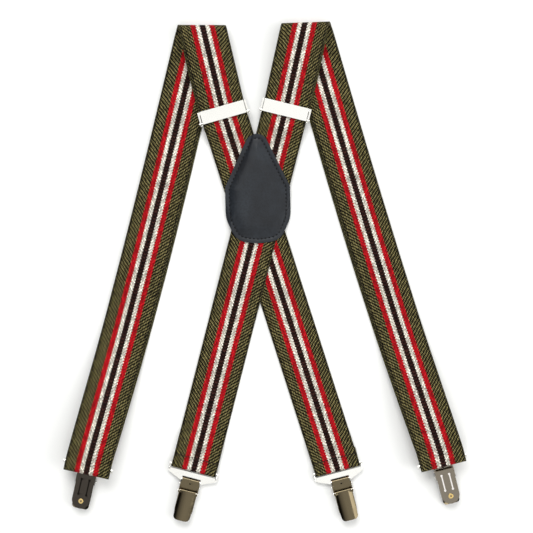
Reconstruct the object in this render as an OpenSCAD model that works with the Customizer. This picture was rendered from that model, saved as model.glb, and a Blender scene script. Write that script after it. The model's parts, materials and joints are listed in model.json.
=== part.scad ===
// X-back suspenders with four lever clips, laid out flat with the shoulder turns at +Y.
// The wearer's left and right are ignored: left is -X and right is +X as the braces lie.

/* [Webbing] */
// Width of the elastic webbing
strap_w = 35; // [25:1:50]
// Thickness of one layer of webbing
strap_t = 1.2; // [0.9:0.1:1.8]
// Radius of the shoulder turn, to the middle of the outer layer
turn_r = 5.6; // [4.5:0.1:9]
// Length of webbing folded back and sewn at a back clip
hem_l = 12; // [8:1:20]

/* [Layout] */
// Middle of the left shoulder turn, across
turn_left_x = -48.6; // [-60:0.1:-45]
// Middle of the left shoulder turn, along
turn_left_y = 188; // [170:1:240]
// Middle of the right shoulder turn, across
turn_right_x = 31.2; // [28:0.1:45]
// Middle of the right shoulder turn, along
turn_right_y = 190; // [170:1:240]
// Middle of the left adjuster, across
slider_left_x = -32; // [-36:0.1:-30]
// Middle of the right adjuster, across
slider_right_x = 15.7; // [14:0.1:20]
// How far both adjusters lie below the shoulder turns
slider_drop = 67; // [50:1:80]
// Webbing end at the front left clip, across
front_left_x = -136; // [-150:1:-125]
// Webbing end at the front right clip, across
front_right_x = 136; // [125:1:150]
// Webbing end at the back left clip, across
back_left_x = -55; // [-65:1:-50]
// Webbing end at the back right clip, across
back_right_x = 56; // [50:1:65]
// How far the webbing ends of the front clips lie below the origin
front_end_y = -151; // [-190:1:-130]
// How far the webbing ends of the back clips lie below the origin
back_end_y = -154; // [-190:1:-130]
// How far the front left clip is turned from straight down
front_left_turn = -12.6; // [-20:0.1:-5]
// How far the back left clip is turned
back_left_turn = -14.5; // [-20:0.1:-5]
// How far the back right clip is turned
back_right_turn = 14.6; // [5:0.1:20]
// How far the front right clip is turned
front_right_turn = 14.4; // [5:0.1:20]

/* [Crossing patch] */
// Width of the leather patch
patch_w = 50; // [44:1:60]
// Length of the leather patch
patch_l = 84; // [70:1:100]
// Thickness of the top leather
patch_top_t = 1.2; // [0.8:0.1:2]
// Thickness of the lining under the straps
patch_lining_t = 0.9; // [0.6:0.1:1]

/* [Adjusters] */
// Length of the cover plate along the strap
cover_l = 9.9; // [8:0.1:14]
// Thickness of the frame's sheet metal
frame_t = 0.7; // [0.5:0.1:1]
// Radius of the cover's hinge pin
cover_pin_r = 0.5; // [0.4:0.1:0.8]

/* [Clips] */
// Radius of the bail's round bars
bail_r = 1; // [0.8:0.1:1.3]
// Distance between the bail's two bars
bail_l = 9.5; // [9:0.1:13]
// Sheet metal thickness of the clip
clip_t = 0.8; // [0.6:0.1:1]
// Width of the back plate
plate_w = 14; // [12:0.5:20]
// Length of the clip from its hinge on the bail to its tip
clip_l = 31; // [27:1:40]
// Width of the lever
lever_w = 12.6; // [10:0.1:18]
// Radius of the lever's hinge pin
lever_pin_r = 0.7; // [0.5:0.1:0.9]
// Radius of the jaw's hinge pin
jaw_pin_r = 0.5; // [0.4:0.1:0.6]
// Thickness of each plastic jaw pad
pad_t = 0.8; // [0.5:0.1:1]

/* [Fits] */
// Radial clearance of a hinge pin in its bore
pin_gap = 0.05; // [0.03:0.01:0.09]
// Gap between webbing and metal
soft_gap = 0.3; // [0.2:0.05:0.5]

/* [Hidden] */

$fn = 48;
layer_gap = 0.05;               // between two layers of webbing
pitch = strap_t + layer_gap;    // from layer to layer
rest_gap = 0.1;                 // between webbing and what it lies on
web_color = [0.30, 0.29, 0.20];
nickel = [0.80, 0.80, 0.78];
dark_nickel = [0.40, 0.39, 0.37];
brass = [0.80, 0.62, 0.25];
ivory = [0.88, 0.86, 0.80];
slate = [0.20, 0.22, 0.24];

// Heights of the layers at the adjuster
leg_top = 2 * pitch;                                    // top of the two front layers below it
under_z = leg_top + soft_gap + strap_t / 2;             // returning layer under the frame
frame_z = under_z + strap_t / 2 + rest_gap;             // underside of the frame
hem_z = frame_z + frame_t + rest_gap + strap_t / 2;     // sewn end over the frame's bar
over_z = hem_z + pitch;                                 // strap that runs through the adjuster
barrel_r = cover_pin_r + pin_gap + 0.45;
cover_pin_z = over_z + strap_t / 2 + 0.25 + barrel_r;
slider_hem = 10.5;                                      // reach of the sewn end below the centre
slider_ear = 0.8;
slider_rim = 1.5;                                       // frame beside the webbing
slider_half = strap_w / 2 + soft_gap + slider_rim;      // half width of the frame

// Heights at the patch
cross_pitch = strap_t + rest_gap;
cross_low_z = patch_lining_t + rest_gap + strap_t / 2;
cross_high_z = cross_low_z + cross_pitch;
patch_z = cross_high_z + strap_t / 2 + rest_gap;
patch_shift = [1, -18];         // foot of the patch from where the straps cross
patch_lean = 2;                 // its tip lies this far to the left of its foot
cross_ramp = 36;                // length over which the straps sink below the patch
drop_ramp = 20;                 // length over which the upper strap sinks off the lower one
hem_ramp = 8;                   // length over which a back strap rises onto its own hem
hem_lead = 16;                  // the rise begins this far before the hem
bail_ramp = 5;                  // length over which it rises onto the bail

// Clip, measured from its hinge on the bail: -Y to the tip, +Z to the lever side
hinge_w = 2.9;                                 // hinge above the outside of the back plate
tab_r = bail_r + pin_gap + clip_t;             // rolled tab round the bail's lower bar
ear_top = 2;                                   // ears begin this far below the hinge
plate_top = 3.6;                               // and the back plate here
plate_short = 1;                               // its tip stops short of the lever's
groove_y = 13.4;                               // middle of the back plate's two grooves
groove_l = 11.6;
half_plate = plate_w / 2;
ear_in = lever_w / 2 + 0.35;
jaw_pin_y = 3.9;
jaw_barrel_r = jaw_pin_r + pin_gap + 0.5;
jaw_w = clip_t + 2 * pad_t + 0.1;              // underside of the jaw above the plate's outside
jaw_pin_w = jaw_w + 0.05;
jaw_t = 0.7;
cam_r = 1.5;
cam_off = 0.65;
cam_gap = 0.2;                                 // from the closed cam to the jaw
lever_pin_y = 8.5;
lever_pin_w = jaw_w + jaw_t + cam_gap + cam_r + cam_off;
lever_crown = lever_pin_w + 1.95;              // highest point of the closed lever
lever_arc_r = 12;
lever_swell = 0.45;                            // lever's sides bow out this much
lever_corner = 3;
eyelet_y = clip_l - 6.8;
eyelet_r = 1.95;
eyelet_rim = 0.3;
eyelet_barrel_r = 1.1;
eyelet_hole_r = 0.7;
pad_y = 13;
arm_r = 0.7;
bail_half = strap_w / 2 + soft_gap + arm_r;    // bail's side arms
blade_y = 3.4;                                 // bail's plate begins this far from the upper bar
loop_r = bail_r + soft_gap + strap_t / 2;      // webbing's middle round the bail
loop_out = loop_r + strap_t / 2;
front_tilt = 60;                               // the front bails stand this steep
front_tuck = [2.6, 0, 0, 0.3];                 // webbing end beyond the clip's hinge
floor_gap = eyelet_rim + 0.05;

turn_at = [[turn_left_x, turn_left_y], [turn_right_x, turn_right_y]];
slider_at = [[slider_left_x, turn_left_y - slider_drop], [slider_right_x, turn_right_y - slider_drop]];
// Clips in the order front left, back left, back right, front right
clip_lift = [-3.7, 0, 0.4, 2.2];               // their ends don't lie quite level
clip_end = [[front_left_x, front_end_y + clip_lift[0]], [back_left_x, back_end_y + clip_lift[1]],
            [back_right_x, back_end_y + clip_lift[2]], [front_right_x, front_end_y + clip_lift[3]]];
clip_angle = [front_left_turn, back_left_turn, back_right_turn, front_right_turn];
is_front = [true, false, false, true];

// ---- Paths ----
function flat(p, z) = [p[0], p[1], z];
function dir2(a) = [sin(a), -cos(a)];
function mix(a, b, t) = a + (b - a) * t;
function ease(t) = let (u = min(1, max(0, t))) u * u * (3 - 2 * u);
function heading(p, q) = atan2(q[0] - p[0], p[1] - q[1]);
function unit(v) = v / norm(v);

hinge_z = [for (f = is_front) f ? lever_crown - hinge_w : floor_gap + hinge_w];
bar_z = [for (i = [0:3]) is_front[i] ? hinge_z[i] + bail_l * sin(front_tilt) : hinge_z[i]];
hinge_at = [for (i = [0:3]) clip_end[i]
    + dir2(clip_angle[i]) * (is_front[i] ? -front_tuck[i] : bail_l - loop_out)];
bar_at = [for (i = [0:3]) hinge_at[i]
    - dir2(clip_angle[i]) * bail_l * (is_front[i] ? cos(front_tilt) : 1)];
bend_at = [for (i = [0:3]) clip_end[i] - dir2(clip_angle[i]) * loop_out];

// A ring of a strap: middle, direction across it in plan, half its width in that direction
function ring(p, across, along) = [p, across, strap_w / 2 / cos(along - across)];

// Corners of a strap whose rings are given, and the solid between them. Its ends stand upright.
module strap_solid(rings) {
    n = len(rings);
    corners = [for (i = [0:n - 1]) let (
        here = rings[i],
        ahead = unit(rings[min(i + 1, n - 1)][0] - rings[max(i - 1, 0)][0]),
        side = [cos(here[1]), sin(here[1]), 0],
        normal = unit(cross(ahead, side)),
        up = (i == 0 || i == n - 1 ? [0, 0, sign(normal[2])] : normal) * strap_t / 2,
        reach = side * here[2])
        each [here[0] - reach - up, here[0] + reach - up, here[0] + reach + up, here[0] - reach + up]];
    walls = [for (i = [0:n - 2], k = [0:3]) let (
        a = 4 * i + k, b = 4 * i + (k + 1) % 4)
        each [[a, b, b + 4], [a, b + 4, a + 4]]];
    caps = [[0, 3, 2], [0, 2, 1], [4 * n - 4, 4 * n - 3, 4 * n - 2], [4 * n - 4, 4 * n - 2, 4 * n - 1]];
    color(web_color) polyhedron(points = corners, faces = [for (f = concat(walls, caps)) [f[0], f[2], f[1]]]);
}

// ---- Straps: side 0 turns at the left shoulder, side 1 at the right ----
back_clip = [2, 1];
front_clip = [0, 3];
back_angle = [for (s = [0, 1]) heading(slider_at[s], bend_at[back_clip[s]])];
near_angle = [for (s = [0, 1]) heading(turn_at[s], slider_at[s])];
far_angle = [for (s = [0, 1]) heading(turn_at[s], clip_end[front_clip[s]])];
// The turn's axis halves the angle between its two runs, and so does the adjuster
turn_angle = [for (s = [0, 1]) (near_angle[s] + far_angle[s]) / 2];
slider_angle = [for (s = [0, 1]) (near_angle[s] + back_angle[s]) / 2];
turn_axis = [for (s = [0, 1]) [cos(turn_angle[s]), sin(turn_angle[s])]];
turn_up = [for (s = [0, 1]) [-sin(turn_angle[s]), cos(turn_angle[s])]];
turn_z = turn_r + strap_t / 2;
turn_out = turn_r + strap_t / 2;

// Middle of a strap at angle a round the shoulder turn, 0 above and 180 below
function turn_point(s, r, a) = let (
        lean = near_angle[s] - turn_angle[s],
        drift = turn_r * (a - 90) * PI / 180 * tan(lean),
        plan = turn_at[s] - turn_up[s] * turn_out - turn_axis[s] * drift + turn_up[s] * r * sin(a))
    flat(plan, turn_z + r * cos(a));

function turn_rings(s, r) = [for (a = [0:15:180]) ring(turn_point(s, r, a), turn_angle[s], near_angle[s])];

function run(p, q, z0, z1, a0, a1, along, steps) = [for (i = [0:steps]) let (t = i / steps)
    ring(flat(mix(p, q, t), mix(z0, z1, ease(t))), mix(a0, a1, t), along)];

function plan(p) = [p[0], p[1]];

module shoulder_strap(s) {
    top = turn_point(s, turn_r, 0);
    strap_solid(run(plan(top), slider_at[s], top[2], over_z, turn_angle[s], slider_angle[s], near_angle[s], 12));
}

module shoulder_turn(s) strap_solid(turn_rings(s, turn_r));

module turn_return(s) strap_solid(turn_rings(s, turn_r - pitch));

// Under the strap to the adjuster's lower bar, round it and back over it
module shoulder_return(s) {
    top = turn_point(s, turn_r - pitch, 0);
    down = dir2(slider_angle[s]);
    round_z = (under_z + hem_z) / 2;
    round_r = (hem_z - under_z) / 2;
    round_at = slider_at[s] + down * (slider_hem - round_r - strap_t / 2);
    frame_top = slider_at[s] - down * (cover_l / 2 + 3);
    strap_solid(concat(
        run(plan(top), frame_top, top[2], under_z, turn_angle[s], slider_angle[s], near_angle[s], 10),
        [for (a = [-90:22.5:90]) ring(flat(round_at + down * round_r * cos(a), round_z + round_r * sin(a)),
            slider_angle[s], slider_angle[s])],
        [ring(flat(slider_at[s] + down * 1.5, hem_z), slider_angle[s], slider_angle[s])]));
}

// Single layer from the adjuster under the patch to the back clip, hemmed round the bail.
// The right shoulder's strap runs over the left one's for as far as they cross.
module back_strap(s) {
    c = back_clip[s];
    rest_z = strap_t / 2;
    cross_z = s == 0 ? cross_low_z : cross_high_z;
    leave_z = s == 0 ? rest_z : rest_z + cross_pitch;
    down = dir2(clip_angle[c]);
    low_z = bar_z[c] - loop_r;
    along = back_angle[s];
    reach = norm(bend_at[c] - slider_at[s]);
    slant = strap_w / 2 * abs(sin(slider_angle[s]));
    patch_in = (slider_at[s][1] - patch_tip[1] + slant) / cos(along);
    lag = s == 0 ? 1 : 3;       // the upper strap begins to sink a little later
    patch_out = (slider_at[s][1] - patch_foot[1] + slant) / cos(along) + lag;
    crossed = norm(crossing - slider_at[s]) + strap_w / 2 / tan((back_angle[0] - back_angle[1]) / 2) + 3;
    hem_start = reach - hem_l - hem_lead;
    // Distance from the adjuster's middle, and height
    stops = [[0, over_z], [slider_hem + 1, over_z], [patch_in, cross_z], [patch_out, cross_z],
             [patch_out + cross_ramp, leave_z], [crossed, leave_z], [crossed + drop_ramp, rest_z],
             [hem_start, rest_z], [hem_start + hem_ramp, low_z + pitch], [reach - bail_ramp, low_z + pitch], [reach, bar_z[c] + loop_r]];
    line = [for (k = [0:len(stops) - 2]) for (i = [0:3]) let (
        t = i / 4, f = mix(stops[k][0], stops[k + 1][0], t) / reach)
        ring(flat(mix(slider_at[s], bend_at[c], f), mix(stops[k][1], stops[k + 1][1], ease(t))),
            mix(slider_angle[s], clip_angle[c], ease((f - 0.8) / 0.2)), along)];
    strap_solid(concat(line,
        [for (a = [90:-22.5:-90]) ring(flat(bend_at[c] + down * loop_r * cos(a), bar_z[c] + loop_r * sin(a)),
            clip_angle[c], clip_angle[c])],
        [ring(flat(bend_at[c] - down * hem_l, low_z), clip_angle[c], clip_angle[c])]));
}

// Path of a front layer in plan: its start, the knee where it begins to rise, and its end
front_knee = 0.66;
front_tail = 8;
function front_start(s, r) = plan(turn_point(s, r, 180));
function front_end(s) = bend_at[front_clip[s]] - dir2(clip_angle[front_clip[s]]) * front_tail;

// One front layer from height z0 at the shoulder turn to z1 at the clip
function front_run(s, r, z0, z1) = let (
        c = front_clip[s], start = front_start(s, r), end = front_end(s),
        along = heading(start, end), knee = mix(start, end, front_knee))
    concat([for (i = [0:3]) ring(flat(mix(start, knee, i / 4), z0), mix(turn_angle[s], along, i / 4), along)],
        run(knee, end, z0, z1, along, clip_angle[c], along, 12));

// Lower front layer from the shoulder turn to the clip and round its end
module front_strap(s) {
    c = front_clip[s];
    down = dir2(clip_angle[c]);
    strap_solid(concat(
        front_run(s, turn_r, strap_t / 2, bar_z[c] - loop_r),
        [for (a = [-90:22.5:90]) ring(flat(bend_at[c] + down * loop_r * cos(a), bar_z[c] + loop_r * sin(a)),
            clip_angle[c], clip_angle[c])]));
}

// Upper front layer, back from the clip to the shoulder turn
module front_return(s) {
    c = front_clip[s];
    strap_solid(concat(
        front_run(s, turn_r - pitch, strap_t / 2 + pitch, bar_z[c] + loop_r),
        [ring(flat(bend_at[c] - dir2(clip_angle[c]) * 0.02, bar_z[c] + loop_r), clip_angle[c], clip_angle[c])]));
}

// ---- Patch ----
// Where the two back straps cross in plan
function meet(p, a, q, b) = let (u = dir2(a), v = dir2(b), w = q - p)
    p + u * (w[0] * v[1] - w[1] * v[0]) / (u[0] * v[1] - u[1] * v[0]);
crossing = meet(slider_at[0], back_angle[0], slider_at[1], back_angle[1]);
patch_foot = crossing + patch_shift;
patch_tip = patch_foot + [-patch_lean, patch_l];

module patch_outline() {
    tip_r = 9;
    side_r = 6;
    foot_r = 13;
    half = patch_w / 2;
    translate(patch_foot) rotate(asin(patch_lean / patch_l)) hull() {
        translate([0, patch_l - tip_r]) circle(tip_r);
        for (x = [-1, 1]) {
            translate([x * (half - side_r), patch_l / 2]) circle(side_r);
            translate([x * (half - foot_r - 4), foot_r + 1]) circle(foot_r);
        }
        translate([0, half]) circle(half);
    }
}
module patch_top() color(slate) translate([0, 0, patch_z]) linear_extrude(patch_top_t) patch_outline();
module patch_lining() color(slate) linear_extrude(patch_lining_t) patch_outline();

// ---- Adjusters, drawn about their own centre with the strap along Y ----
module place_slider(s) translate(flat(slider_at[s], 0)) rotate(slider_angle[s]) children();

pin_y = -cover_l / 2 + barrel_r;
ear_x = slider_half - slider_ear;

module cross_pin(half, r) rotate([0, 90, 0]) cylinder(h = 2 * half, r = r, center = true);

module slider_frame(s) color(nickel) place_slider(s) difference() {
    bar = 2.2;
    low = -cover_l / 2 - 0.8;
    high = cover_l / 2 + 0.3;
    union() {
        translate([-slider_half, low, frame_z]) cube([2 * slider_half, high - low, frame_t]);
        for (x = [-slider_half, ear_x]) {
            translate([x, pin_y - 1.3, frame_z]) cube([slider_ear, 2.6, cover_pin_z - frame_z]);
            translate([x, pin_y, cover_pin_z]) rotate([0, 90, 0]) cylinder(h = slider_ear, r = 1.3);
        }
    }
    translate([-strap_w / 2 - soft_gap, low + bar, frame_z - 1])
        cube([strap_w + 2 * soft_gap, high - low - 2 * bar, frame_t + 2]);
    translate([0, pin_y, cover_pin_z]) cross_pin(slider_half + 1, cover_pin_r + 0.02);
}

module slider_cover(s) color(nickel) place_slider(s) difference() {
    half = strap_w / 2 - 0.2;
    skin = 0.6;
    top = cover_pin_z + barrel_r;
    lip = 0.8;
    tooth = 0.9;
    union() {
        translate([-half, -cover_l / 2, top - skin]) cube([2 * half, cover_l, skin]);
        translate([0, pin_y, cover_pin_z]) cross_pin(half, barrel_r);
        for (x = [-half + 1:2 * tooth:half - 1])
            translate([x, cover_l / 2 - lip, over_z + strap_t / 2 + 0.15])
                cube([tooth, lip, top - over_z - strap_t / 2 - 0.4]);
    }
    translate([0, pin_y, cover_pin_z]) cross_pin(half + 1, cover_pin_r + pin_gap);
}

module slider_pin(s) color(nickel) place_slider(s) translate([0, pin_y, cover_pin_z]) {
    cross_pin(slider_half + 0.05, cover_pin_r);
    for (x = [-1, 1]) translate([x * (slider_half + 0.3), 0, 0]) cross_pin(0.25, cover_pin_r + 0.3);
}

// ---- Clips ----
module place_clip(c) translate(flat(hinge_at[c], hinge_z[c])) rotate(clip_angle[c])
    rotate([0, is_front[c] ? 180 : 0, 0]) children();
module place_bail(c) translate(flat(hinge_at[c], hinge_z[c])) rotate(clip_angle[c])
    rotate([is_front[c] ? front_tilt : 0, 0, 0]) children();

// Bail: upper bar in the webbing, two side arms and a plate with a slot for the clip's tab
module bail(c) color(nickel) place_bail(c) {
    slot = half_plate + 0.25;
    foot = bail_l - blade_y;
    edge = bail_half + arm_r;
    translate([0, bail_l, 0]) cross_pin(bail_half, bail_r);
    for (x = [-1, 1]) translate([x * bail_half, foot - 1.2, 0])
        rotate([-90, 0, 0]) cylinder(h = bail_l - foot + 1.2, r = arm_r);
    for (x = [-1, 1]) translate([x * bail_half, bail_l, 0])
        rotate([0, x * 90, 0]) cylinder(h = arm_r, r = bail_r);
    translate([0, 0, -clip_t / 2]) linear_extrude(clip_t) difference() {
        polygon([[-edge, foot - 0.4], [-edge + 0.6, foot], [edge - 0.6, foot], [edge, foot - 0.4],
                 [edge, foot - 2.2], [edge - 1.6, foot - 3.2], [slot + 2.4, -0.6], [slot + 1.4, -1.1],
                 [-slot - 1.4, -1.1], [-slot - 2.4, -0.6], [-edge + 1.6, foot - 3.2], [-edge, foot - 2.2]]);
        translate([-slot, -2]) square([2 * slot, 2 + tab_r + 0.45]);
    }
    cross_pin(slot + 0.5, bail_r);
}

module pin_hole(y, w, r) translate([0, -y, w - hinge_w]) cross_pin(bail_half, r);

// Outline of the back plate: straight sides and a round tip
module plate_outline(top, half, grow) {
    tip = clip_l + grow;
    translate([-half, -tip + half]) square([2 * half, tip - half - top]);
    translate([0, -tip + half]) circle(half);
}

// Back plate with its two ears, the rolled tab and the eyelet's hole
module back_plate(c) color(dark_nickel) place_clip(c) difference() {
    ear_t = clip_t;
    union() {
        translate([0, 0, -hinge_w]) linear_extrude(clip_t) plate_outline(plate_top, half_plate, -plate_short);
        cross_pin(half_plate - 0.25, tab_r);
        translate([-half_plate + 0.25, -5, tab_r - clip_t]) cube([plate_w - 0.5, 5, clip_t]);
        for (x = [-ear_in - ear_t, ear_in]) {
            translate([x, -lever_pin_y - 2, -hinge_w]) cube([ear_t, lever_pin_y + 2 - ear_top, lever_pin_w]);
            translate([x, -lever_pin_y, lever_pin_w - hinge_w])
                rotate([0, 90, 0]) cylinder(h = ear_t, r = 1.6);
        }
    }
    cross_pin(bail_half, bail_r + pin_gap);
    pin_hole(lever_pin_y, lever_pin_w, lever_pin_r + 0.02);
    pin_hole(jaw_pin_y, jaw_pin_w, jaw_pin_r + 0.02);
    translate([0, -eyelet_y, -hinge_w - 1]) cylinder(h = clip_t + 2, r = eyelet_barrel_r + 0.03);
    translate([0, -2.4, tab_r - clip_t - 1]) cylinder(h = clip_t + 2, r = 0.6);
    for (x = [-1, 1]) translate([x * 3.05, -groove_y, -hinge_w - 0.01]) {
        translate([-0.5, -groove_l / 2, 0]) cube([1, groove_l, 0.35]);
        for (y = [-1, 1]) translate([0, y * groove_l / 2, 0]) cylinder(h = 0.35, r = 0.9);
    }
}

module jaw(c) color(dark_nickel) place_clip(c) difference() {
    half = lever_w / 2 - 0.35;
    union() {
        translate([0, 0, jaw_w - hinge_w]) linear_extrude(jaw_t) plate_outline(jaw_pin_y, half, -1);
        translate([0, -jaw_pin_y, jaw_pin_w - hinge_w]) cross_pin(half, jaw_barrel_r);
    }
    pin_hole(jaw_pin_y, jaw_pin_w, jaw_pin_r + pin_gap);
}

// Outline of the blade: sides bow out below the ears, and the tip has round corners
module lever_outline(half) {
    wide = half + lever_swell;
    mid = (lever_pin_y + 2 + clip_l - lever_corner) / 2;
    polygon([[-half, -lever_pin_y], [-half, -lever_pin_y - 2.3], [-wide, -mid], [-half - 0.1, -clip_l + lever_corner],
             [half + 0.1, -clip_l + lever_corner], [wide, -mid], [half, -lever_pin_y - 2.3], [half, -lever_pin_y]]);
    for (x = [-1, 1]) translate([x * (half + 0.1 - lever_corner), -clip_l + lever_corner]) circle(lever_corner);
    translate([-half - 0.1 + lever_corner, -clip_l]) square([lever_w + 0.2 - 2 * lever_corner, lever_corner + 1]);
}

// Lever: a barrel with a cam on the hinge pin, and a blade that is arched across its width
module lever(c) color(dark_nickel) place_clip(c) difference() {
    half = lever_w / 2;
    axis = lever_crown - hinge_w - lever_arc_r;
    union() {
        translate([0, -lever_pin_y, lever_pin_w - hinge_w]) {
            cross_pin(half, lever_pin_r + pin_gap + 0.75);
            translate([0, 0, -cam_off]) cross_pin(half - 1.5, cam_r);
        }
        intersection() {
            translate([0, 0, axis]) rotate([90, 0, 0]) difference() {
                cylinder(h = clip_l, r = lever_arc_r, $fn = 96);
                translate([0, 0, -1]) cylinder(h = clip_l + 2, r = lever_arc_r - clip_t, $fn = 96);
            }
            translate([0, 0, 1]) linear_extrude(lever_arc_r) lever_outline(half);
        }
        translate([-half, -lever_pin_y - 1.6, lever_pin_w - hinge_w]) cube([lever_w, 1.6, 1.1]);
    }
    pin_hole(lever_pin_y, lever_pin_w, lever_pin_r + pin_gap);
}

// Lever pin and jaw pin, each with its two heads
module pins(c) color(nickel) place_clip(c) {
    out = ear_in + clip_t;
    for (p = [[lever_pin_y, lever_pin_w, lever_pin_r], [jaw_pin_y, jaw_pin_w, jaw_pin_r]])
        translate([0, -p[0], p[1] - hinge_w]) {
            cross_pin(out + 0.1, p[2]);
            for (x = [-1, 1]) translate([x * (out + 0.3), 0, 0]) cross_pin(0.25, p[2] + 0.35);
        }
}

module pad_outline(grow) {
    half = lever_w / 2 - 0.5;
    plate_outline(pad_y, half, -plate_short - grow);
}

// Pads with cross ribs that grip the cloth
module back_pad(c) color(ivory) place_clip(c) difference() {
    translate([0, 0, clip_t - hinge_w]) linear_extrude(pad_t) pad_outline(0.6);
    translate([0, -eyelet_y, -hinge_w]) cylinder(h = 9, r = eyelet_barrel_r + 0.03);
    for (i = [0:3]) translate([-plate_w, -pad_y - 1.5 - 2.4 * i, clip_t + pad_t - 0.25 - hinge_w])
        cube([2 * plate_w, 0.8, 1]);
}

module jaw_pad(c) color(ivory) place_clip(c) difference() {
    translate([0, 0, jaw_w - pad_t - hinge_w]) linear_extrude(pad_t) pad_outline(0.6);
    for (i = [0:6]) translate([-plate_w, -pad_y - 2.7 - 2.4 * i, jaw_w - pad_t - 1 + 0.25 - hinge_w])
        cube([2 * plate_w, 0.8, 1]);
}

module eyelet(c) color(brass) place_clip(c) translate([0, -eyelet_y, -hinge_w]) difference() {
    union() {
        translate([0, 0, -eyelet_rim]) cylinder(h = eyelet_rim, r = eyelet_r);
        translate([0, 0, -0.01]) cylinder(h = clip_t + pad_t - 0.1, r = eyelet_barrel_r);
    }
    translate([0, 0, -2]) cylinder(h = 6, r = eyelet_hole_r);
}

back_strap(0);  // back_strap_left
shoulder_strap(0);  // shoulder_strap_left
shoulder_turn(0);  // shoulder_turn_left
front_strap(0);  // front_strap_left
front_return(0);  // front_return_left
turn_return(0);  // turn_return_left
shoulder_return(0);  // shoulder_return_left
back_strap(1);  // back_strap_right
shoulder_strap(1);  // shoulder_strap_right
shoulder_turn(1);  // shoulder_turn_right
front_strap(1);  // front_strap_right
front_return(1);  // front_return_right
turn_return(1);  // turn_return_right
shoulder_return(1);  // shoulder_return_right
patch_top();
patch_lining();
slider_frame(0);  // slider_frame_left
slider_cover(0);  // slider_cover_left
slider_pin(0);  // slider_pin_left
slider_frame(1);  // slider_frame_right
slider_cover(1);  // slider_cover_right
slider_pin(1);  // slider_pin_right
bail(0);  // bail_front_left
back_plate(0);  // back_plate_front_left
jaw(0);  // jaw_front_left
lever(0);  // lever_front_left
pins(0);  // pins_front_left
back_pad(0);  // back_pad_front_left
jaw_pad(0);  // jaw_pad_front_left
eyelet(0);  // eyelet_front_left
bail(1);  // bail_back_left
back_plate(1);  // back_plate_back_left
jaw(1);  // jaw_back_left
lever(1);  // lever_back_left
pins(1);  // pins_back_left
back_pad(1);  // back_pad_back_left
jaw_pad(1);  // jaw_pad_back_left
eyelet(1);  // eyelet_back_left
bail(2);  // bail_back_right
back_plate(2);  // back_plate_back_right
jaw(2);  // jaw_back_right
lever(2);  // lever_back_right
pins(2);  // pins_back_right
back_pad(2);  // back_pad_back_right
jaw_pad(2);  // jaw_pad_back_right
eyelet(2);  // eyelet_back_right
bail(3);  // bail_front_right
back_plate(3);  // back_plate_front_right
jaw(3);  // jaw_front_right
lever(3);  // lever_front_right
pins(3);  // pins_front_right
back_pad(3);  // back_pad_front_right
jaw_pad(3);  // jaw_pad_front_right
eyelet(3);  // eyelet_front_right
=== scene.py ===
import json
import math
import bmesh
import bpy
from mathutils import Matrix, Vector
from mathutils.kdtree import KDTree


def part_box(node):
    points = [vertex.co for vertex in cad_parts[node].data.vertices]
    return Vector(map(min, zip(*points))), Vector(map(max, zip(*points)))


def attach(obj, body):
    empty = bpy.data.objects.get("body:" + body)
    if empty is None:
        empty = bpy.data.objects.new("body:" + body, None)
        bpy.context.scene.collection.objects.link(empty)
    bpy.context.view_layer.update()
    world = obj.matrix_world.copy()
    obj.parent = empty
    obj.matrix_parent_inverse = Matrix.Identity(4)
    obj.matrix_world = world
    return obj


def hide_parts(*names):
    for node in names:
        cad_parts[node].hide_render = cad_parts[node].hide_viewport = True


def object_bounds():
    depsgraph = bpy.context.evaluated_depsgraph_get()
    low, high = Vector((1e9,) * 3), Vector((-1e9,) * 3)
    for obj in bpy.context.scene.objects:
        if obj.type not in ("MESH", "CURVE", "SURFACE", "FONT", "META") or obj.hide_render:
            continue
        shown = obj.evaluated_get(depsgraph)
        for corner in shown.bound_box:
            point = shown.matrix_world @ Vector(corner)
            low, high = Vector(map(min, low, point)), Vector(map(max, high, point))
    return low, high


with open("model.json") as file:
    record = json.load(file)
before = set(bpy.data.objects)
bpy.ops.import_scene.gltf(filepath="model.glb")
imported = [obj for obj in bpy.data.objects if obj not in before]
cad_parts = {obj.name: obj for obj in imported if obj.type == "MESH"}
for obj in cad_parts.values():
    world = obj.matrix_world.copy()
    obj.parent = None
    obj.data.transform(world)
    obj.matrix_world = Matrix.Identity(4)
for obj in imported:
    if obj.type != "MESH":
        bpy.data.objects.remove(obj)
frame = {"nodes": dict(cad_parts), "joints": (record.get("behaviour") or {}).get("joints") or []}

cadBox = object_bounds()
mm = 0.001
places = ["front_left", "back_left", "back_right", "front_right"]
jointOf = {j["name"]: j for j in frame["joints"]}
scene = bpy.context.scene


# Small helpers

def linear(hexColour):
    parts = [int(hexColour[i:i + 2], 16) / 255 for i in (0, 2, 4)]
    return [c / 12.92 if c <= 0.04045 else ((c + 0.055) / 1.055) ** 2.4 for c in parts] + [1]


def addNode(tree, kind, inputs=None, **settings):
    node = tree.nodes.new(kind)
    for key, value in settings.items():
        setattr(node, key, value)
    for key, value in (inputs or {}).items():
        if isinstance(value, bpy.types.NodeSocket):
            tree.links.new(value, node.inputs[key])
        else:
            node.inputs[key].default_value = value
    return node


def newMaterial(name, **shader):
    material = bpy.data.materials.new(name)
    material.use_nodes = True
    bsdf = material.node_tree.nodes["Principled BSDF"]
    for key, value in shader.items():
        bsdf.inputs[key.replace("_", " ")].default_value = value
    return material, material.node_tree, bsdf


def calc(tree, operation, *values):
    return addNode(tree, "ShaderNodeMath", dict(enumerate(values)), operation=operation).outputs[0]


def remap(tree, value, fromLow, fromHigh, toLow, toHigh):
    inputs = {0: value, 1: fromLow, 2: fromHigh, 3: toLow, 4: toHigh}
    return addNode(tree, "ShaderNodeMapRange", inputs).outputs[0]


def noise(tree, place, scale, detail):
    return addNode(tree, "ShaderNodeTexNoise", {"Vector": place, "Scale": scale, "Detail": detail}).outputs[0]


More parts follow.
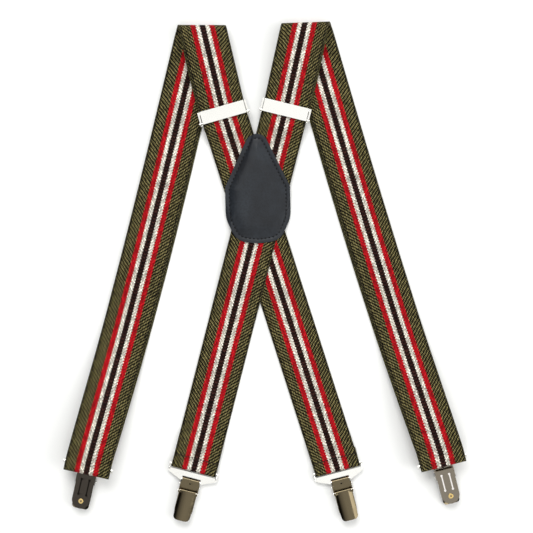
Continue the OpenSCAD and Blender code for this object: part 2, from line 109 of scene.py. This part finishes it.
def blend(tree, share, first, second):
    return addNode(tree, "ShaderNodeMix", {0: share, 6: first, 7: second}, data_type="RGBA").outputs[2]


def shadeColour(tree, bsdf, colour, tone):
    toned = addNode(tree, "ShaderNodeVectorMath", {0: colour, 3: tone}, operation="SCALE").outputs[0]
    tree.links.new(toned, bsdf.inputs["Base Color"])


def raiseSurface(tree, bsdf, height, strength, depth):
    # depth is in millimetres
    bump = addNode(tree, "ShaderNodeBump", {"Strength": strength, "Distance": depth * mm, "Height": height})
    tree.links.new(bump.outputs[0], bsdf.inputs["Normal"])


def objectPlace(tree):
    return addNode(tree, "ShaderNodeTexCoord").outputs["Object"]


def ease(t):
    t = min(1, max(0, t))
    return t * t * (3 - 2 * t)


def mix(a, b, t):
    return a + (b - a) * t


def makeObject(name, bm, materials, sharpAngle=35):
    mesh = bpy.data.meshes.new(name)
    bm.to_mesh(mesh)
    bm.free()
    for polygon in mesh.polygons:
        polygon.use_smooth = True
    if sharpAngle:
        mesh.set_sharp_from_angle(angle=math.radians(sharpAngle))
    for material in materials:
        mesh.materials.append(material)
    obj = bpy.data.objects.new(name, mesh)
    scene.collection.objects.link(obj)
    return obj


# Where the frame holds each piece

def headingVector(p):
    return Vector((math.sin(p), -math.cos(p), 0))


def clipFrame(place):
    bar = Vector(jointOf["bail_swing_" + place]["pos_m"])
    across = -Vector(jointOf["clip_swing_" + place]["axis"]).normalized()
    tip = Vector((across.y, -across.x, 0))
    return {"bar": bar, "across": across, "tip": tip, "angle": math.atan2(across.y, across.x)}


clips = {place: clipFrame(place) for place in places}
backClipOf = {"left": "back_right", "right": "back_left"}


# Webbing

webbing = {"width": 35, "thickness": 1.2, "turnRadius": 5.6, "pitch": 1.25, "hem": 12,
           "loopOut": 2.5, "pocket": {"left": 7.35, "right": 5.05},
           "strapUnderPin": 1.85, "hemUnderStrap": 1.25, "returnUnderHem": 2.1, "slip": 2.0, "bow": 1.6,
           "across": 14, "step": 2.5, "restGap": 0.1, "barRadius": 1.0, "clothGap": 0.3}

# distances along a back strap from the adjuster's middle, in millimetres
backRun = {"frameReach": 11.5, "crossRamp": 36, "crossed": 150, "dropRamp": 20, "hemLead": 16, "hemRamp": 8,
           "bailRamp": 5, "lag": {"left": 1, "right": 3}, "straightShare": 0.8}
# flat length before the bail, stations in each layer, and where a layer starts to rise
frontRunOf = {"tail": 8, "steps": 110, "knee": 0.66}
# distances down from the adjuster's middle, and how far the lower layer slips sideways, in millimetres
returnRun = {"frameTop": 8, "bar": 10.5, "end": 1.5, "slip": 1.2}

# half widths of the stripes from the middle: dark, white cord, red, olive, groove, selvedge
weave = {"stripes": [0, 2.15, 5.0, 8.9, 15.9, 16.5], "end": 0.95, "float": 2.8, "stepShare": 1 / 3,
         "wander": 2.4, "wanderScale": 0.35, "scallop": 2.1, "scallopDepth": 0.34, "relief": 0.25}


def stripeRamp(tree, distance, colours):
    half = webbing["width"] / 2
    scaled = calc(tree, "DIVIDE", distance, half)
    ramp = addNode(tree, "ShaderNodeValToRGB", {0: scaled})
    ramp.color_ramp.interpolation = "CONSTANT"
    for i, (stop, colour) in enumerate(zip(weave["stripes"], colours)):
        element = ramp.color_ramp.elements[0] if i == 0 else ramp.color_ramp.elements.new(stop / half)
        element.position = stop / half
        element.color = linear(colour)
    ramp.color_ramp.elements[-1].color = linear(colours[-1])
    return ramp.outputs[0]


def wovenElastic(name, yarns, shadedGapColours, floatShare, relief):
    # covered rubber warp and polyester weft: matt and soft to the eye
    material, tree, bsdf = newMaterial(name, Roughness=0.9, Specular_IOR_Level=0.12)
    uv = addNode(tree, "ShaderNodeUVMap", uv_map="weave").outputs[0]
    split = addNode(tree, "ShaderNodeSeparateXYZ", {0: uv})
    side = calc(tree, "ABSOLUTE", split.outputs[0])
    length = split.outputs[1]
    # the elastic's pull makes the picks wander
    pulled = calc(tree, "MULTIPLY", noise(tree, uv, weave["wanderScale"], 3), weave["wander"])
    pulled = calc(tree, "ADD", length, pulled)
    # each float starts a third of its length further on than its neighbour
    column = calc(tree, "DIVIDE", side, weave["end"])
    number = calc(tree, "FLOOR", column)
    inColumn = calc(tree, "FRACT", column)
    shift = calc(tree, "MULTIPLY", number, weave["stepShare"])
    stepped = calc(tree, "SUBTRACT", calc(tree, "DIVIDE", pulled, weave["float"]), shift)
    phase = calc(tree, "FRACT", stepped)
    # and is a little darker or lighter
    cell = addNode(tree, "ShaderNodeCombineXYZ", {0: number, 1: calc(tree, "FLOOR", stepped)}).outputs[0]
    dice = addNode(tree, "ShaderNodeTexWhiteNoise", {"Vector": cell}, noise_dimensions="2D").outputs["Value"]
    # height of a float: an arch along it and across it
    archAlong = calc(tree, "SINE", remap(tree, phase, 0, floatShare, 0, math.pi))
    archAcross = calc(tree, "SINE", calc(tree, "MULTIPLY", inColumn, math.pi))
    height = calc(tree, "MULTIPLY", archAlong, archAcross)
    show = remap(tree, height, 0.2, 0.6, 0, 1)
    # the stripes' edges step in and out
    turns = calc(tree, "MULTIPLY", length, 2 * math.pi / weave["scallop"])
    wobble = calc(tree, "MULTIPLY", calc(tree, "SINE", turns), weave["scallopDepth"])
    edge = calc(tree, "ADD", side, wobble)
    stretched = addNode(tree, "ShaderNodeMapping", {0: uv, 3: (1.6, 0.35, 1)}).outputs[0]
    tone = remap(tree, noise(tree, stretched, 2.2, 5), 0.25, 0.75, 0.8, 1.2)
    tone = calc(tree, "MULTIPLY", tone, remap(tree, dice, 0, 1, 0.6, 1.45))
    # painted shade: the hollows between the floats take the darker gap colours, partly the darker weft seen
    # there and partly shade painted in; the float crests take the yarn colours
    colour = blend(tree, show, stripeRamp(tree, edge, shadedGapColours), stripeRamp(tree, edge, yarns))
    shadeColour(tree, bsdf, colour, tone)
    tree.links.new(remap(tree, show, 0, 1, 0.95, 0.8), bsdf.inputs["Roughness"])
    raiseSurface(tree, bsdf, height, relief, weave["relief"])
    return material


webbingFace = wovenElastic(
    "elasticWebbingFace",
    ["3A1E19", "EFEADF", "B4121B", "7F764B", "17150E", "6E6746"],
    ["140907", "B4AE9F", "8E0D14", "0C0B06", "080704", "1C1A10"], 0.67, 0.35)
webbingReverse = wovenElastic(
    "elasticWebbingReverse",
    ["3E2A24", "DCD6C6", "A81C24", "5E5A3A", "2A281B", "625E3C"],
    ["1D110E", "A9A391", "7A1016", "26241A", "1B1A12", "39361F"], 0.8, 0.5)


def strapStations(side):
    sign = 1 if side == "left" else -1
    back = clips[backClipOf[side]]
    front = clips["front_" + side]
    half = webbing["width"] / 2
    t = webbing["thickness"]
    pitch = webbing["pitch"]
    low, high = (Vector(c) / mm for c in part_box("slider_cover_" + side))
    slider = (low + high) / 2
    pin = jointOf["cover_lift_" + side]
    sliderAngle = math.atan2(pin["axis"][1], pin["axis"][0])
    overZ = pin["pos_m"][2] / mm - webbing["strapUnderPin"]
    hemZ = overZ - webbing["hemUnderStrap"]
    underZ = hemZ - webbing["returnUnderHem"]
    backBar, frontBar = back["bar"] / mm, front["bar"] / mm
    low, high = (Vector(c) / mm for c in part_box("shoulder_turn_" + side))
    radius = webbing["turnRadius"]
    outer = radius + t / 2
    loop = webbing["barRadius"] + webbing["clothGap"] + t / 2
    crest = Vector(((low.x + high.x) / 2, high.y, 0))
    stations = []

    def heading(p, q):
        return math.atan2(q[0] - p[0], p[1] - q[1])

    frontEnd = frontBar + front["tip"] * (webbing["pocket"][side] - webbing["loopOut"])
    near = heading(crest, slider)
    turn = (near + heading(crest, frontEnd)) / 2
    crest.y -= half * abs(math.sin(turn))
    axis = Vector((math.cos(turn), math.sin(turn), 0))
    up = Vector((-math.sin(turn), math.cos(turn), 0))

    def add(p, z, across, along, shift=0):
        direction = Vector((math.cos(across), math.sin(across), 0))
        reach = half / math.cos(along - across)
        stations.append((Vector((p[0], p[1], z)) + direction * shift, direction, reach))

    def turnPoint(r, a):
        drift = radius * (a - math.pi / 2) * math.tan(near - turn)
        p = crest - up * outer - axis * drift + up * r * math.sin(a)
        return p, outer + r * math.cos(a)

    # hem of the back clip, then up the back to the adjuster
    tip = back["tip"]
    lowZ, topZ = backBar.z - loop, backBar.z + loop
    for i in range(5):
        add(backBar - tip * webbing["hem"] * (1 - i / 5), lowZ, back["angle"], back["angle"])
    for i in range(13):
        a = math.pi * (i / 12 - 0.5)
        add(backBar + tip * loop * math.cos(a), backBar.z + loop * math.sin(a), back["angle"], back["angle"])
    bend = backBar.copy()
    reach = (bend.xy - slider.xy).length
    along = heading(slider, bend)
    patchLow, patchHigh = (Vector(c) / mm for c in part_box("patch_top"))
    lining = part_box("patch_lining")[1][2] / mm
    crossPitch = t + webbing["restGap"]
    restZ = t / 2
    crossZ = lining + crossPitch - t / 2 + (0 if side == "left" else crossPitch)
    leaveZ = restZ + (0 if side == "left" else crossPitch)
    slant = half * abs(math.sin(sliderAngle))
    patchIn = (slider.y - patchHigh.y + slant) / math.cos(along)
    patchOut = (slider.y - patchLow.y + slant) / math.cos(along) + backRun["lag"][side]
    crossed = backRun["crossed"]
    hemStart = reach - webbing["hem"] - backRun["hemLead"]
    # distance from the adjuster's middle, and height
    stops = [(0, overZ), (backRun["frameReach"], overZ), (patchIn, crossZ), (patchOut, crossZ),
             (patchOut + backRun["crossRamp"], leaveZ), (crossed, leaveZ),
             (crossed + backRun["dropRamp"], restZ), (hemStart, restZ),
             (hemStart + backRun["hemRamp"], lowZ + pitch),
             (reach - backRun["bailRamp"], lowZ + pitch), (reach, topZ)]

    def backZ(d):
        for (d0, z0), (d1, z1) in zip(stops, stops[1:]):
            if d <= d1:
                return mix(z0, z1, ease((d - d0) / (d1 - d0)))
        return topZ

    count = round(reach / webbing["step"])
    for i in range(1, count + 1):
        f = 1 - i / count
        late = ease((f - backRun["straightShare"]) / (1 - backRun["straightShare"]))
        across = mix(sliderAngle, back["angle"], late)
        add(slider.lerp(bend, f), backZ(f * reach), across, along)
    # over the shoulder
    top, topTurnZ = turnPoint(radius, 0)
    for i in range(1, 24):
        f = i / 24
        add(slider.lerp(top, f), mix(overZ, topTurnZ, ease(f)), mix(sliderAngle, turn, f), near)
    for i in range(17):
        p, z = turnPoint(radius, math.pi * i / 16)
        add(p, z, turn, near)

    # down the front, round the clip's bail and back up on top of itself
    tip = front["tip"]
    flatEnd = frontBar + tip * (webbing["pocket"][side] - webbing["loopOut"])
    tail = frontRunOf["tail"]
    end = flatEnd - tip * tail
    loopTop, loopLow = frontBar.z + loop, frontBar.z - loop

    def frontRun(layer, down):
        r = radius if layer == 0 else radius - pitch
        start, startZ = turnPoint(r, math.pi)
        endZ = loopLow if layer == 0 else loopTop
        along = heading(start, end)
        count = frontRunOf["steps"]
        knee = frontRunOf["knee"]
        steps = range(1, count) if down else range(count - 1, 0, -1)
        for i in steps:
            f = i / count
            across = mix(turn, along, f / 0.5) if f < 0.5 else mix(along, front["angle"], (f - 0.5) / 0.5)
            z = mix(startZ, endZ, ease((f - knee) / (1 - knee)))
            bow = webbing["bow"] * math.sin(math.pi * f) * sign
            slip = webbing["slip"] * math.sin(math.pi * min(1, f * 1.02)) ** 0.7 * sign if layer == 0 else 0
            add(start.lerp(end, f), z, across, along, bow + slip)

    frontRun(0, True)
    for i in range(3):
        add(flatEnd - tip * tail * (1 - i / 3), loopLow, front["angle"], front["angle"])
    for i in range(13):
        a = math.pi * (i / 12 - 0.5)
        around = flatEnd + tip * loop * math.cos(a)
        add(around, frontBar.z + loop * math.sin(a), front["angle"], front["angle"])
    for i in range(2, -1, -1):
        add(flatEnd - tip * tail * (1 - i / 3), loopTop, front["angle"], front["angle"])
    frontRun(1, False)
    for i in range(17):
        p, z = turnPoint(radius - pitch, math.pi * (1 - i / 16))
        add(p, z, turn, near)
    # back to the adjuster's lower bar and round it
    top, topTurnZ = turnPoint(radius - pitch, 0)
    down = headingVector(sliderAngle)
    frameTop = slider - down * returnRun["frameTop"]
    for i in range(1, 20):
        f = i / 19
        add(top.lerp(frameTop, f), mix(topTurnZ, underZ, ease(f)), mix(turn, sliderAngle, f), near,
            -returnRun["slip"] * sign * math.sin(math.pi * f) ** 0.5)
    hemR = (hemZ - underZ) / 2
    hemAtPoint = slider + down * (returnRun["bar"] - hemR - t / 2)
    for i in range(1, 4):
        add(frameTop.lerp(hemAtPoint, i / 4), underZ, sliderAngle, sliderAngle)
    for i in range(9):
        a = math.pi * (i / 8 - 0.5)
        add(hemAtPoint + down * hemR * math.cos(a), (hemZ + underZ) / 2 + hemR * math.sin(a),
            sliderAngle, sliderAngle)
    add(slider + down * returnRun["end"], hemZ, sliderAngle, sliderAngle)
    return stations


def makeStrap(side):
    stations = strapStations(side)
    across = webbing["across"]
    bm = bmesh.new()
    bmesh.ops.create_grid(bm, x_segments=across, y_segments=len(stations) - 1, size=0.5)
    lengths = [0.0]
    for a, b in zip(stations, stations[1:]):
        lengths.append(lengths[-1] + (b[0] - a[0]).length)
    layer = bm.loops.layers.uv.new("weave")
    spot = {}
    for vert in bm.verts:
        row = round((vert.co.y + 0.5) * (len(stations) - 1))
        centre, direction, reach = stations[row]
        u = 2 * vert.co.x
        # where the ring slants, the thread count runs on straight
        spot[vert] = (u * webbing["width"] / 2, lengths[row])
        vert.co = (centre + direction * reach * u) * mm
    for face in bm.faces:
        for loop in face.loops:
            loop[layer].uv = spot[loop.vert]
    strap = makeObject("strap_" + side, bm, [webbingFace, webbingReverse], 0)
    solid = strap.modifiers.new("thickness", "SOLIDIFY")
    solid.thickness = webbing["thickness"] * mm
    solid.offset = 0
    solid.use_even_offset = True
    solid.material_offset = 1
    solid.material_offset_rim = 0
    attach(strap, "root")
    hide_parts(*[part + "_" + side for part in (
        "back_strap", "shoulder_strap", "shoulder_turn", "front_strap", "front_return", "turn_return",
        "shoulder_return")])
    print("strap", side, "length", round(lengths[-1]), "mm")


for side in ("left", "right"):
    makeStrap(side)


# Thread and seams

threads = {"sides": 8, "rings": 5}


def threadMaterial(name, colour):
    # bonded polyester thread: a faint twist and a dull waxy shine
    material, tree, bsdf = newMaterial(name, Roughness=0.6, Specular_IOR_Level=0.3)
    twist = noise(tree, objectPlace(tree), 2500, 2)
    shadeColour(tree, bsdf, linear(colour)[:3], remap(tree, twist, 0.3, 0.7, 0.6, 1.4))
    return material


blackThread = threadMaterial("blackPolyesterThread", "080808")
brownThread = threadMaterial("brownPolyesterThread", "1E100C")


def addStitch(bm, spot, direction, up, length, radius):
    side = up.cross(direction).normalized()
    up = direction.cross(side)
    turn = Matrix((direction * length / 2, side * radius, up * radius)).transposed().to_4x4()
    turn.translation = spot
    bmesh.ops.create_uvsphere(bm, u_segments=threads["sides"], v_segments=threads["rings"], radius=mm,
                              matrix=turn)


# Metals and plastic

def platedMetal(name, colour, roughness, streak, pressed=None, paintedGrooveColour="F4F0EC"):
    # electroplated sheet steel, near mirror, with buffing lines and faint handling marks
    material, tree, bsdf = newMaterial(name, Metallic=1.0, Roughness=roughness)
    bsdf.inputs["Base Color"].default_value = linear(colour)
    place = objectPlace(tree)
    lines = addNode(tree, "ShaderNodeMapping", {0: place, 3: (3000, 400, 1500)}).outputs[0]
    hair = noise(tree, lines, 1.0, 3)
    cloud = noise(tree, place, 220, 4)
    tree.links.new(remap(tree, cloud, 0.35, 0.7, roughness * 0.7, roughness * 1.6), bsdf.inputs["Roughness"])
    raiseSurface(tree, bsdf, hair, streak, 0.01)
    if pressed:
        # painted light in the pressed grooves: a band of heights gets its own colour, standing in for the
        # highlight and shade the grooves catch
        height = addNode(tree, "ShaderNodeSeparateXYZ", {0: place}).outputs[2]
        above = calc(tree, "GREATER_THAN", height, pressed[0])
        below = calc(tree, "LESS_THAN", height, pressed[1])
        paintedGrooveMask = calc(tree, "MULTIPLY", above, below)
        shade = blend(tree, paintedGrooveMask, linear(colour), linear(paintedGrooveColour))
        tree.links.new(shade, bsdf.inputs["Base Color"])
    return material


brightNickel = platedMetal("polishedNickelPlate", "FAF9F3", roughness=0.12, streak=0.2)
# painted reflection: shiny nickel given a dark base colour that stands in for the dark room it reflects
nickelPaintedDarkReflection = platedMetal("nickelPlatePaintedDarkReflection", "6A604B", roughness=0.13, streak=0.2)
yellowBrass = platedMetal("polishedBrass", "E3C684", roughness=0.22, streak=0.2)
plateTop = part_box("back_plate_front_left")[1][2]
# the grooves are 0.35 mm deep; the left plate and its grooves get darker colours as painted shade, the right
# plate a lighter colour and bright grooves as painted highlight, though both are the same nickel
grooveBand = (plateTop - 0.45 * mm, plateTop - 0.25 * mm)
frontPlates = {"front_left": platedMetal("frontLeftNickelPaintedShade", "45403A", 0.13, 0.2, grooveBand, "1C1916"),
               "front_right": platedMetal("frontRightNickelPaintedLight", "837B6E", 0.13, 0.2, grooveBand)}


def mouldedPlastic():
    # injection moulded polypropylene, matt from the mould's spark finish
    material, tree, bsdf = newMaterial("mouldedPolypropylene", Roughness=0.5, Specular_IOR_Level=0.35)
    grain = noise(tree, objectPlace(tree), 1500, 3)
    tree.links.new(blend(tree, grain, linear("E4E0D0"), linear("F2EFE4")), bsdf.inputs["Base Color"])
    raiseSurface(tree, bsdf, grain, 0.2, 0.02)
    return material


ivoryPlastic = mouldedPlastic()
# widths of the rounded edges of each kind of part, in millimetres
hardware = {"bail": 0.36, "back_plate": 0.12, "jaw": 0.14, "lever": 0.3, "pins": 0.08, "back_pad": 0.1,
            "jaw_pad": 0.1, "eyelet": 0.12, "slider_frame": 0.14, "slider_cover": 0.18, "slider_pin": 0.08}
rounding = {"steps": 2, "angle": 50, "weld": 0.002}


def finishNode(part, place, material):
    # the stamped part keeps its shape; its sharp edges are rounded as tumbling leaves them
    obj = frame["nodes"][part + "_" + place]
    obj.data.materials.clear()
    obj.data.materials.append(material)
    weld = obj.modifiers.new("merge", "WELD")
    weld.merge_threshold = rounding["weld"] * mm
    bevel = obj.modifiers.new("tumbledEdges", "BEVEL")
    bevel.width = hardware[part] * mm
    bevel.segments = rounding["steps"]
    bevel.limit_method = "ANGLE"
    bevel.angle_limit = math.radians(rounding["angle"])
    for polygon in obj.data.polygons:
        polygon.use_smooth = True
    level = obj.modifiers.new("flatFacesFlat", "WEIGHTED_NORMAL")
    level.weight = 100


for place in places:
    finishNode("bail", place, brightNickel)
    finishNode("back_plate", place, frontPlates.get(place, nickelPaintedDarkReflection))
    finishNode("jaw", place, nickelPaintedDarkReflection)
    finishNode("lever", place, nickelPaintedDarkReflection)
    finishNode("pins", place, brightNickel)
    finishNode("back_pad", place, ivoryPlastic)
    finishNode("jaw_pad", place, ivoryPlastic)
    finishNode("eyelet", place, yellowBrass)
for side in ("left", "right"):
    finishNode("slider_frame", side, brightNickel)
    finishNode("slider_cover", side, brightNickel)
    finishNode("slider_pin", side, brightNickel)
print("hardware finished")


# Leather patch

patch = {"leather": 1.1, "stitchInset": 3.3, "stitchPitch": 3.0, "stitchLength": 1.7, "stitchRadius": 0.45,
         "groove": 0.4, "grooveWidth": 0.8, "crown": 1.7, "crownStart": 4.2, "crownRun": 8.5,
         "overUpper": 3.7, "overLower": 2.4, "overNone": 1.15, "drape": 4.5, "drapeStart": 0.6,
         "liftStart": 2, "liftRun": 6, "segments": 200, "liningInsets": [0.3, 3.0],
         "edgeInsets": [0.3, 0.8, 0.85, 0.5, 0.35, 0.3, 0.35, 0.35, 0.5, 0.6, 0.6],
         "innerShrinks": [0.94, 0.93, 0.92, 0.9, 0.88, 0.85, 0.8, 0.72, 0.6, 0.5],
         "edgeRound": 0.35, "edgeSteps": 3, "edgeAngle": 60, "threadLift": 0.12}


def leatherMaterial():
    # drum-dyed cowhide: fine pebble grain about 0.9 mm across, mottled, with a low wax finish
    material, tree, bsdf = newMaterial("slateCowhide", Roughness=0.5, Specular_IOR_Level=0.32)
    place = objectPlace(tree)
    pebble = addNode(tree, "ShaderNodeTexVoronoi", {"Vector": place, "Scale": 1100}, feature="SMOOTH_F1")
    pore = noise(tree, place, 650, 6)
    mottle = remap(tree, noise(tree, place, 55, 5), 0.35, 0.65, 0, 1)
    colour = blend(tree, mottle, linear("16191E"), linear("22272D"))
    shadeColour(tree, bsdf, colour, remap(tree, pore, 0.35, 0.6, 0.75, 1.12))
    tree.links.new(remap(tree, pore, 0.3, 0.7, 0.4, 0.58), bsdf.inputs["Roughness"])
    raiseSurface(tree, bsdf, calc(tree, "ADD", pebble.outputs[0], pore), 0.4, 0.1)
    return material


cowhide = leatherMaterial()


def outlineOf(node):
    # the cut line of the leather, taken round the top of the frame's own piece
    source = bmesh.new()
    source.from_mesh(frame["nodes"][node].data)
    bmesh.ops.remove_doubles(source, verts=source.verts, dist=0.01 * mm)
    top = max(v.co.z for v in source.verts)
    rim = [v.co.copy() / mm for v in source.verts if v.co.z > top - 0.1 * mm]
    source.free()
    middle = sum(rim, Vector()) / len(rim)
    rim.sort(key=lambda p: math.atan2(p.y - middle.y, p.x - middle.x))
    lengths = [0.0]
    for a, b in zip(rim, rim[1:] + rim[:1]):
        lengths.append(lengths[-1] + (b - a).length)
    outline = []
    k = 0
    for i in range(patch["segments"]):
        d = lengths[-1] * i / patch["segments"]
        while lengths[k + 1] < d:
            k += 1
        f = (d - lengths[k]) / (lengths[k + 1] - lengths[k])
        outline.append(rim[k].lerp(rim[(k + 1) % len(rim)], f))
    return outline, middle


def strapLine(side):
    low, high = (Vector(c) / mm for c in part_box("slider_cover_" + side))
    back = clips[backClipOf[side]]["bar"] / mm
    start = ((low + high) / 2).to_2d()
    return start, (back.to_2d() - start).normalized()


strapLines = {side: strapLine(side) for side in ("left", "right")}


def covered(x, y, side):
    start, direction = strapLines[side]
    distance = abs((Vector((x, y)) - start).cross(direction))
    return 1 - ease((distance - webbing["width"] / 2 - patch["drapeStart"]) / patch["drape"])


def patchDisc(outline, middle, rings, z):
    # a disc whose inner rings follow the cut line, then close in on the middle
    bm = bmesh.new()
    bmesh.ops.create_circle(bm, cap_ends=True, radius=1, segments=patch["segments"])
    bm.faces.ensure_lookup_table()
    face = bm.faces[0]
    order = sorted(face.verts, key=lambda v: math.atan2(v.co.y, v.co.x) % (2 * math.pi))
    turns = [abs(math.atan2(p.y - middle.y, p.x - middle.x)) for p in outline]
    first = turns.index(min(turns))
    for i, vert in enumerate(order):
        vert.co = outline[(first + i) % len(outline)]
        vert.co.z = z
    for step in rings:
        bmesh.ops.inset_region(bm, faces=[face], thickness=step, use_boundary=True, use_even_offset=True)
    for shrink in patch["innerShrinks"]:
        bmesh.ops.inset_region(bm, faces=[face], thickness=0.01, use_boundary=True)
        centre = Vector((middle.x, middle.y, z))
        bmesh.ops.scale(bm, vec=(shrink, shrink, 1), space=Matrix.Translation(-centre), verts=face.verts)
    bmesh.ops.poke(bm, faces=[face])
    if sum(f.normal.z for f in bm.faces) < 0:
        bmesh.ops.reverse_faces(bm, faces=bm.faces)
    return bm


def nearEdge(outline):
    tree = KDTree(len(outline) * 8)
    k = 0
    for a, b in zip(outline, outline[1:] + outline[:1]):
        for i in range(8):
            p = a.lerp(b, i / 8)
            tree.insert((p.x, p.y, 0), k)
            k += 1
    tree.balance()
    return tree


def patchHeight(x, y, d):
    lay = max(mix(patch["overNone"], patch["overLower"], covered(x, y, "left")),
              mix(patch["overNone"], patch["overUpper"], covered(x, y, "right")))
    lay = mix(lay, patch["overUpper"], ease((d - patch["liftStart"]) / patch["liftRun"]))
    groove = patch["groove"] * math.exp(-((d - patch["stitchInset"]) / patch["grooveWidth"]) ** 2)
    crown = patch["crown"] * ease((d - patch["crownStart"]) / patch["crownRun"]) ** 0.8
    return lay + patch["leather"] - groove + crown


def makePatch():
    outline, middle = outlineOf("patch_top")
    edge = nearEdge(outline)

    def heightAt(x, y):
        return patchHeight(x, y, edge.find((x, y, 0))[2])

    bm = patchDisc(outline, middle, patch["edgeInsets"], 0)
    for vert in bm.verts:
        vert.co.z = heightAt(vert.co.x, vert.co.y)
    bmesh.ops.scale(bm, vec=(mm, mm, mm), verts=bm.verts)
    top = makeObject("patch_cowhide_top", bm, [cowhide], 0)
    solid = top.modifiers.new("leather", "SOLIDIFY")
    solid.thickness = patch["leather"] * mm
    solid.offset = -1
    bevel = top.modifiers.new("burnishedEdge", "BEVEL")
    bevel.width = patch["edgeRound"] * mm
    bevel.segments = patch["edgeSteps"]
    bevel.limit_method = "ANGLE"
    bevel.angle_limit = math.radians(patch["edgeAngle"])
    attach(top, "root")
    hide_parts("patch_top")

    # lining: flat leather
    under, underMiddle = outlineOf("patch_lining")
    bm = patchDisc(under, underMiddle, patch["liningInsets"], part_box("patch_lining")[1][2] / mm)
    bmesh.ops.scale(bm, vec=(mm, mm, mm), verts=bm.verts)
    lining = makeObject("patch_cowhide_lining", bm, [cowhide], 0)
    solid = lining.modifiers.new("leather", "SOLIDIFY")
    solid.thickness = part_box("patch_lining")[1][2]
    solid.offset = -1
    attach(lining, "root")
    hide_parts("patch_lining")

    # lockstitch round the patch
    ring = []
    for i, p in enumerate(outline):
        before, after = outline[i - 1], outline[(i + 1) % len(outline)]
        inward = Vector((before.y - after.y, after.x - before.x)).normalized()
        q = Vector((p.x, p.y)) + inward * patch["stitchInset"]
        ring.append(Vector((q.x, q.y, heightAt(q.x, q.y) + patch["threadLift"])))
    lengths = [0.0]
    for a, b in zip(ring, ring[1:] + ring[:1]):
        lengths.append(lengths[-1] + (b - a).length)
    count = round(lengths[-1] / patch["stitchPitch"])
    bm = bmesh.new()
    k = 0
    for i in range(count):
        d = lengths[-1] * (i + 0.5) / count
        while lengths[k + 1] < d:
            k += 1
        a, b = ring[k], ring[(k + 1) % len(ring)]
        spot = a.lerp(b, (d - lengths[k]) / (lengths[k + 1] - lengths[k]))
        addStitch(bm, spot * mm, (b - a).normalized(), Vector((0, 0, 1)), patch["stitchLength"],
                  patch["stitchRadius"])
    stitches = makeObject("patch_lockstitch", bm, [blackThread], 0)
    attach(stitches, "root")
    print("patch made with", count, "stitches")


makePatch()


# Seams across the hems of the back straps

hemSeam = {"fromBar": 7.6, "pitch": 2.3, "length": 2.1, "radius": 0.4, "margin": 1.2}


def makeHemSeam(place):
    clip = clips[place]
    bar = clip["bar"] / mm
    loop = webbing["barRadius"] + webbing["clothGap"] + webbing["thickness"] / 2
    z = bar.z - loop + webbing["pitch"] + webbing["thickness"] / 2
    bm = bmesh.new()
    half = webbing["width"] / 2 - hemSeam["margin"]
    count = round(2 * half / hemSeam["pitch"])
    for i in range(count):
        u = mix(-half, half, (i + 0.5) / count)
        spot = bar - clip["tip"] * hemSeam["fromBar"] + clip["across"] * u
        spot.z = z
        addStitch(bm, spot * mm, clip["across"], Vector((0, 0, 1)), hemSeam["length"], hemSeam["radius"])
    seam = makeObject("hem_seam_" + place, bm, [brownThread], 0)
    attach(seam, "root")


for place in ("back_left", "back_right"):
    makeHemSeam(place)
print("hem seams sewn")


# Floor, light and camera

studio = {"floorSize": 6.0, "cameraHeight": 1.1, "frameWidth": 0.4099, "aim": (0.001, 0.0039),
          "skyLow": 0.02, "skyHigh": 1.05, "fall": (0.42, 1.0), "lean": 0.3,
          "lights": {"backSoftbox": {"spot": (-0.3, 1.3, 1.7), "size": (1.6, 1.1), "power": 28},
                     "sideSoftbox": {"spot": (1.7, -0.4, 1.3), "size": (1.0, 1.2), "power": 11},
                     "fillSoftbox": {"spot": (-0.3, -1.7, 1.4), "size": (1.2, 0.8), "power": 9}}}


def makeStudio():
    bm = bmesh.new()
    bmesh.ops.create_grid(bm, x_segments=1, y_segments=1, size=studio["floorSize"] / 2)
    # matt card, very faintly warm
    material, tree, bsdf = newMaterial("mattCardFloor", Roughness=0.9, Specular_IOR_Level=0.1)
    grain = noise(tree, objectPlace(tree), 30, 3)
    tree.links.new(blend(tree, grain, linear("F8F9F7"), linear("FBFBF9")), bsdf.inputs["Base Color"])
    floor = makeObject("floor", bm, [material], 0)

    world = bpy.data.worlds.new("softRoom")
    scene.world = world
    world.use_nodes = True
    tree = world.node_tree
    sky = tree.nodes["Background"]
    direction = addNode(tree, "ShaderNodeTexCoord").outputs["Generated"]
    split = addNode(tree, "ShaderNodeSeparateXYZ", {0: direction})
    lean = calc(tree, "MULTIPLY", split.outputs[0], studio["lean"])
    rise = calc(tree, "ADD", split.outputs[2], lean)
    level = remap(tree, rise, *studio["fall"], studio["skyLow"], studio["skyHigh"])
    tree.links.new(level, sky.inputs["Color"])
    sky.inputs["Strength"].default_value = 1.0

    def areaLight(name, spot, size, power):
        data = bpy.data.lights.new(name, "AREA")
        data.shape = "RECTANGLE"
        data.size, data.size_y = size
        data.energy = power
        light = bpy.data.objects.new(name, data)
        light.location = spot
        light.rotation_euler = (-Vector(spot)).to_track_quat("-Z", "Y").to_euler()
        scene.collection.objects.link(light)

    for name, light in studio["lights"].items():
        areaLight(name, light["spot"], light["size"], light["power"])
    data = bpy.data.cameras.new("topCamera")
    camera = bpy.data.objects.new("topCamera", data)
    middle = (Vector(cadBox[0]) + Vector(cadBox[1])) / 2
    camera.location = (middle.x + studio["aim"][0], middle.y + studio["aim"][1], studio["cameraHeight"])
    data.lens = data.sensor_width * studio["cameraHeight"] / studio["frameWidth"]
    data.clip_end = 50
    scene.collection.objects.link(camera)
    scene.camera = camera
    scene.view_settings.view_transform = "Standard"


makeStudio()
print("studio ready")
